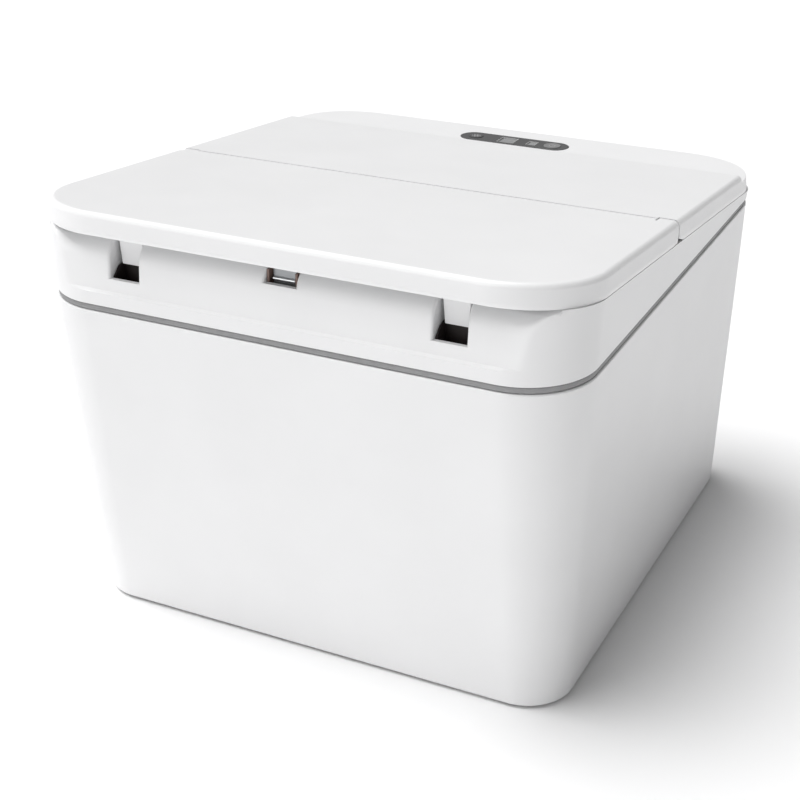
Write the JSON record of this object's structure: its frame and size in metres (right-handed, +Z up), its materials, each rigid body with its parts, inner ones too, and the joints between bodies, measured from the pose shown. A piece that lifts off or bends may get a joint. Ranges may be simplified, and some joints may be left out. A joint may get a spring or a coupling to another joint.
{
  "type": "trash compactor",
  "caption": "Squat household trash compactor: tapered tub, hinged front lid over a bin, screw-driven press, sloping rear deck with touch controls.",
  "frame": {"origin": "middle of the bounding box's underside, on the surface that the feet stand on", "axes": "+X to the right seen from the lid's side, +Y towards the rear wall with the power inlet, +Z up"},
  "size_m": [0.4036, 0.4432, 0.3219],
  "materials": {
    "white_shell": "satin white moulding",
    "black_rubber": "matt",
    "dark_rubber": "matt",
    "charcoal_plastic": "fine grain",
    "smoked_panel": "smoked, smooth",
    "lens": "clear over grey",
    "key_plastic": "soft touch",
    "grey_plastic": "fine grain",
    "brown_plastic": "smooth",
    "circuit": "solder mask",
    "steel": "ground",
    "dark_steel": "zinc phosphate grey",
    "aluminium": "as cast",
    "brass": "turned",
    "nylon": "natural"
  },
  "bodies": {
    "cabinet": {"tub_shell": "white_shell", "foot_1": "black_rubber", "foot_2": "black_rubber", "foot_3": "black_rubber", "foot_4": "black_rubber", "gasket_band": "dark_rubber", "head_frame": "white_shell", "deck_cover": "white_shell", "rear_service_cover": "white_shell", "cover_screw_1": "steel", "cover_screw_2": "steel", "cover_screw_3": "steel", "cover_screw_4": "steel", "power_inlet": "charcoal_plastic", "panel_bezel": "smoked_panel", "display_window": "lens", "status_window": "lens", "control_board": "circuit", "power_supply": "aluminium", "hinge_bracket_left": "white_shell", "hinge_pin_left": "steel", "hinge_bracket_right": "white_shell", "hinge_pin_right": "steel", "lock_actuator": "charcoal_plastic", "catch_housing": "brown_plastic", "lid_switch": "charcoal_plastic", "inner_bin": "grey_plastic", "bag_ring": "charcoal_plastic", "rod_bush_left": "brass", "tie_bar_left": "dark_steel", "rod_bush_right": "brass", "tie_bar_right": "dark_steel", "bulkhead": "dark_steel", "front_bearing": "steel", "rear_bearing": "steel", "gear_plate": "dark_steel", "motor_gearbox": "dark_steel", "drive_motor": "steel", "park_switch": "charcoal_plastic"},
    "lid": {"lid_shell": "white_shell", "lid_liner": "grey_plastic", "lid_gasket": "dark_rubber", "lid_hook_left": "white_shell", "lid_hook_right": "white_shell", "lid_striker": "steel", "deodoriser_tray": "charcoal_plastic"},
    "press": {"ram_plate": "aluminium", "ram_seal": "black_rubber", "push_rod_left": "steel", "push_rod_right": "steel", "crosshead": "dark_steel", "drive_nut": "brass"},
    "screw": {"lead_screw": "steel", "screw_gear": "nylon"},
    "pinion": {"drive_pinion": "dark_steel"},
    "lock": {"lock_bar": "dark_steel"},
    "plunger": {"catch_plunger": "steel"},
    "power_key": {"power_button": "key_plastic"},
    "lamp_key": {"light_key": "key_plastic"}
  },
  "joints": [
    {"name": "lid_hinge", "type": "hinge", "parent": "cabinet", "child": "lid", "pos_m": [0, -0.0194, 0.30267], "axis": [-1, 0, 0], "range_deg": [0, 95]},
    {"name": "press_slide", "type": "slide", "parent": "cabinet", "child": "press", "axis": [0, -1, 0], "range_m": [0, 0.11]},
    {"name": "screw_spin", "type": "hinge", "parent": "cabinet", "child": "screw", "pos_m": [0, 0.1, 0.125], "axis": [0, 1, 0], "range_deg": [0, 1981]},
    {"name": "pinion_spin", "type": "hinge", "parent": "cabinet", "child": "pinion", "pos_m": [0, 0.19, 0.057], "axis": [0, 1, 0], "range_deg": [-5942, 0]},
    {"name": "lock_slide", "type": "slide", "parent": "cabinet", "child": "lock", "axis": [0, -1, 0], "range_m": [0, 0.006], "stiffness_N_per_m": 250, "springref_m": -0.002},
    {"name": "catch_plunger_slide", "type": "slide", "parent": "cabinet", "child": "plunger", "axis": [0, 1, 0], "range_m": [0, 0.003], "stiffness_N_per_m": 400, "springref_m": -0.001},
    {"name": "power_key_slide", "type": "slide", "parent": "cabinet", "child": "power_key", "axis": [0, 0, -1], "range_m": [0, 0.0006], "stiffness_N_per_m": 600, "springref_m": -0.0005},
    {"name": "lamp_key_slide", "type": "slide", "parent": "cabinet", "child": "lamp_key", "axis": [0, 0, -1], "range_m": [0, 0.0006], "stiffness_N_per_m": 600, "springref_m": -0.0005}
  ],
  "couplings": [
    {"joint": "screw_spin", "follows": "press_slide", "rad_per_m": 314.16},
    {"joint": "pinion_spin", "follows": "press_slide", "rad_per_m": -942.48}
  ]
}
